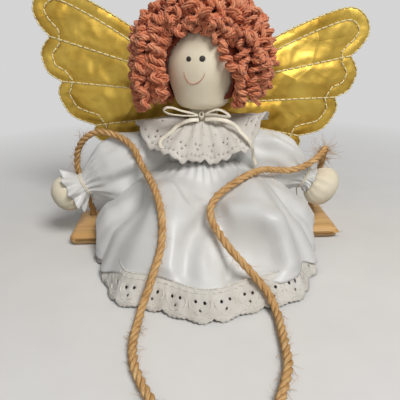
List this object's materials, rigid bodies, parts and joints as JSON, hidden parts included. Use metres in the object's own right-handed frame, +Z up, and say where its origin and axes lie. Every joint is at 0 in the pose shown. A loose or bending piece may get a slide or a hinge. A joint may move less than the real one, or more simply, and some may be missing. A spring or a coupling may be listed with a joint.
{
  "type": "angel ornament",
  "caption": "Stuffed angel doll in a satin dress, with yarn curls and quilted gold wings, seated on a wooden swing board that hangs on jute twine",
  "frame": {"origin": "centre of the flat underside of the swing seat, which lies on the table", "axes": "+X to the viewer's right along the seat, +Y to the doll's back, +Z up"},
  "size_m": [0.2333, 0.2279, 0.1609],
  "materials": {
    "pine": "sanded bare pine with a lengthwise grain",
    "twine": "hairy twisted jute",
    "muslin": "plain cream cotton over soft filling",
    "satin": "white satin with a soft shine",
    "lace": "white eyelet trim with a scalloped edge",
    "ribbon": "narrow off-white ribbon",
    "yarn": "thick twisted yarn, copper red",
    "bead": "small dark raised dot",
    "lame": "crinkled gold metallic cloth",
    "batting": "thin white padding"
  },
  "bodies": {
    "seat_and_doll": {"seat_board": "pine", "twine_knot_left": "twine", "twine_knot_right": "twine", "hanging_twine": "twine", "torso": "muslin", "left_leg": "muslin", "right_leg": "muslin", "left_arm": "muslin", "right_arm": "muslin", "bodice": "satin", "skirt": "satin", "left_sleeve": "satin", "right_sleeve": "satin", "left_wrist_tie": "ribbon", "right_wrist_tie": "ribbon", "hem_lace": "lace", "collar_lace": "lace", "neck_ribbon": "ribbon", "bow_knot": "ribbon", "bow_left_loop": "ribbon", "bow_right_loop": "ribbon", "bow_left_tail": "ribbon", "bow_right_tail": "ribbon"},
    "head": {"head": "muslin", "left_eye": "bead", "right_eye": "bead", "hair_cap": "yarn", "hair_left": "yarn", "hair_right": "yarn", "hair_crown": "yarn", "hair_fringe": "yarn"},
    "left_wing": {"left_wing_front": "lame", "left_wing_core": "batting", "left_wing_back": "lame"},
    "right_wing": {"right_wing_front": "lame", "right_wing_core": "batting", "right_wing_back": "lame"}
  },
  "joints": [
    {"name": "head_turn", "type": "hinge", "parent": "seat_and_doll", "child": "head", "pos_m": [0, -0.003, 0.0823], "axis": [0, 0, 1], "range_deg": [-15, 15]},
    {"name": "left_wing_fold", "type": "hinge", "parent": "seat_and_doll", "child": "left_wing", "pos_m": [-0.003, 0.02823, 0.075], "axis": [0, 0, 1], "range_deg": [-25, 5]},
    {"name": "right_wing_fold", "type": "hinge", "parent": "seat_and_doll", "child": "right_wing", "pos_m": [0.003, 0.02823, 0.075], "axis": [0, 0, -1], "range_deg": [-25, 5]}
  ]
}
